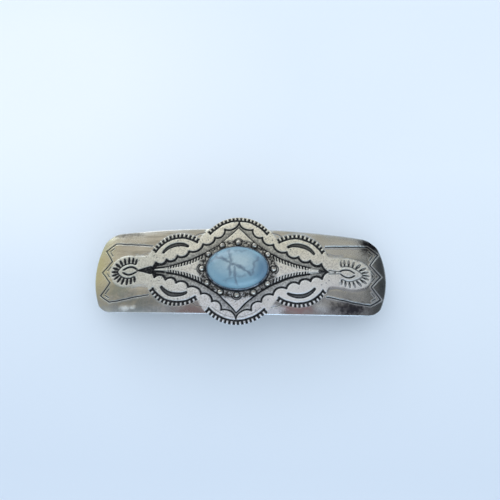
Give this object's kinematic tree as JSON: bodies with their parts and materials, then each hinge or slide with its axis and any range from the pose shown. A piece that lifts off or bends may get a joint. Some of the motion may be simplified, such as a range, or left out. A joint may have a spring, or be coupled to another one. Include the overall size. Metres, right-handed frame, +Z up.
{
  "type": "barrette",
  "caption": "Arched bar barrette with a struck metal plate, an oval domed stone and a sprung hair clip behind it.",
  "frame": {"origin": "middle of the surface that the closed barrette lies on, under its ear feet and prong tips", "axes": "+X along the bar from the hinge to the catch, +Y across the bar, +Z up through the stone"},
  "size_m": [0.089, 0.0332, 0.0171],
  "materials": {
    "struck_plate": "antiqued nickel silver, oxidised recesses",
    "bezel_metal": "polished nickel silver",
    "bead_metal": "polished nickel silver",
    "stone": "polished",
    "clip_steel": "nickel plated, satin",
    "arm_steel": "nickel plated, satin",
    "spring_steel": "tempered strip",
    "prong_steel": "tempered strip",
    "pin_steel": "drawn wire",
    "stud_metal": "hammered heads"
  },
  "bodies": {
    "arm": {"clip_arm": "arm_steel"},
    "base": {"front_plate": "struck_plate", "stone_bezel": "bezel_metal", "cabochon": "stone", "border_beads": "bead_metal", "clip_base": "clip_steel", "stud_hinge_end": "stud_metal", "stud_catch_end": "stud_metal", "hinge_pin": "pin_steel"},
    "spring": {"bow_spring": "spring_steel"},
    "prong_front": {"catch_prong_front": "prong_steel"},
    "prong_rear": {"catch_prong_rear": "prong_steel"}
  },
  "joints": [
    {"name": "arm_hinge", "type": "hinge", "parent": "arm", "child": "base", "pos_m": [-0.0355, 0, 0.003], "axis": [0, -1, 0], "range_deg": [0, 95]},
    {"name": "spring_flex", "type": "slide", "parent": "base", "child": "spring", "axis": [0, 0, 1], "range_m": [0, 0.0006], "stiffness_N_per_m": 800},
    {"name": "prong_front_squeeze", "type": "hinge", "parent": "base", "child": "prong_front", "pos_m": [0.035, -0.00165, 0.00714], "axis": [1, 0, 0], "range_deg": [0, 6], "stiffness_Nm_per_rad": 0.15},
    {"name": "prong_rear_squeeze", "type": "hinge", "parent": "base", "child": "prong_rear", "pos_m": [0.035, 0.00165, 0.00714], "axis": [1, 0, 0], "range_deg": [-6, 0], "stiffness_Nm_per_rad": 0.15}
  ]
}
